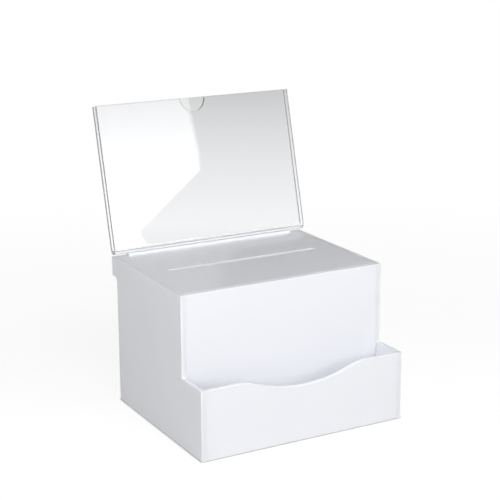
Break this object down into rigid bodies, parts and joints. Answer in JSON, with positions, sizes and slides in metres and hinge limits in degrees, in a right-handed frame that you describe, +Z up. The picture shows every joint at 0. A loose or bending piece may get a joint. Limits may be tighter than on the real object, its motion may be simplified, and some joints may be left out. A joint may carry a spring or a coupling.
{
  "type": "ballot box",
  "caption": "Countertop ballot box of white acrylic sheet with a slotted hinged lid, a rear cam lock, a front brochure pocket and a clear sign holder that leans back on the lid.",
  "frame": {"origin": "centre of the footprint, from the pocket's front face to the rear wall, on the underside of the base", "axes": "+X to the right as seen from the front, +Y from the pocket in front to the rear wall, +Z up"},
  "size_m": [0.158, 0.1673, 0.2139],
  "materials": {
    "white_acrylic": "polished white",
    "clear_acrylic": "polished clear",
    "lock_chrome": "bright plated",
    "steel": "zinc plated"
  },
  "bodies": {
    "box": {"left_side_panel": "white_acrylic", "right_side_panel": "white_acrylic", "front_panel": "white_acrylic", "rear_panel": "white_acrylic", "base_panel": "white_acrylic", "pocket_front_panel": "white_acrylic", "lid_ledge": "white_acrylic", "left_hinge_knuckle": "white_acrylic", "right_hinge_knuckle": "white_acrylic", "lock_barrel": "lock_chrome", "lock_washer": "steel", "lock_nut": "steel"},
    "lid": {"lid_panel": "white_acrylic", "hinge_barrel": "white_acrylic", "left_hinge_pin": "steel", "right_hinge_pin": "steel", "holder_strip": "white_acrylic", "sign_holder_front": "clear_acrylic", "sign_holder_rear": "clear_acrylic", "sign_holder_fold": "clear_acrylic", "lock_keeper": "white_acrylic"},
    "lock_rotor": {"lock_plug": "lock_chrome", "stop_washer": "steel", "lock_cam": "steel", "cam_screw": "steel"}
  },
  "joints": [
    {"name": "lid_hinge", "type": "hinge", "parent": "box", "child": "lid", "pos_m": [0, 0.07, 0.0998], "axis": [-1, 0, 0], "range_deg": [0, 130]},
    {"name": "lock_turn", "type": "hinge", "parent": "box", "child": "lock_rotor", "pos_m": [0, 0.05, 0.078], "axis": [0, 1, 0], "range_deg": [0, 90]}
  ]
}
